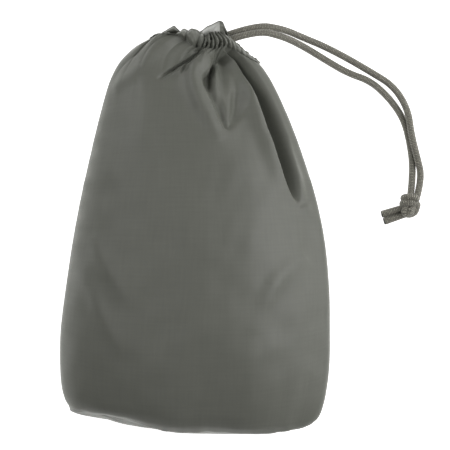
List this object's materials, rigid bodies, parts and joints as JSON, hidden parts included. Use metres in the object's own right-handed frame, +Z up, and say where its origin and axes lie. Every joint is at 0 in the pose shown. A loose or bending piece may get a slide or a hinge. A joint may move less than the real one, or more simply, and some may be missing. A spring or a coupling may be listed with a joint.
{
  "type": "laundry bag",
  "caption": "Drawstring laundry bag of coated nylon, filled out and lying on its back, with its gathered mouth drawn closed by a braided cord knotted at its free end.",
  "frame": {"origin": "on the surface the bag lies on, under the middle of the bag without its free cord", "axes": "+Z up from the surface, +Y from the foot towards the mouth, +X towards the side the cord leaves from"},
  "size_m": [0.3476, 0.3911, 0.0851],
  "materials": {
    "bag_cloth": "coated nylon taffeta, slight sheen",
    "seam_cloth": "coated nylon taffeta, raw edge",
    "thread": "polyester sewing thread",
    "cord": "braided polyester",
    "melted_cord": "melted and set cord end"
  },
  "bodies": {
    "bag": {"front_panel": "bag_cloth", "back_panel": "bag_cloth", "base_panel": "bag_cloth", "channel_front": "bag_cloth", "channel_back": "bag_cloth", "left_seam_allowance": "seam_cloth", "right_seam_allowance": "seam_cloth", "base_seam_allowance": "seam_cloth", "left_seam_stitching": "thread", "right_seam_stitching": "thread", "base_seam_stitching": "thread", "channel_stitching": "thread", "exit_bartacks": "thread", "drawcord_loop": "cord"},
    "drawcord_end": {"drawcord_strand_lower": "cord", "drawcord_strand_upper": "cord", "drawcord_knot": "cord", "drawcord_tail_upper": "cord", "drawcord_tail_lower": "cord", "upper_tail_seal": "melted_cord", "lower_tail_seal": "melted_cord"}
  },
  "joints": [
    {"name": "drawcord_pull", "type": "slide", "parent": "bag", "child": "drawcord_end", "axis": [0.9397, 0.342, 0], "range_m": [0, 0.012]}
  ]
}
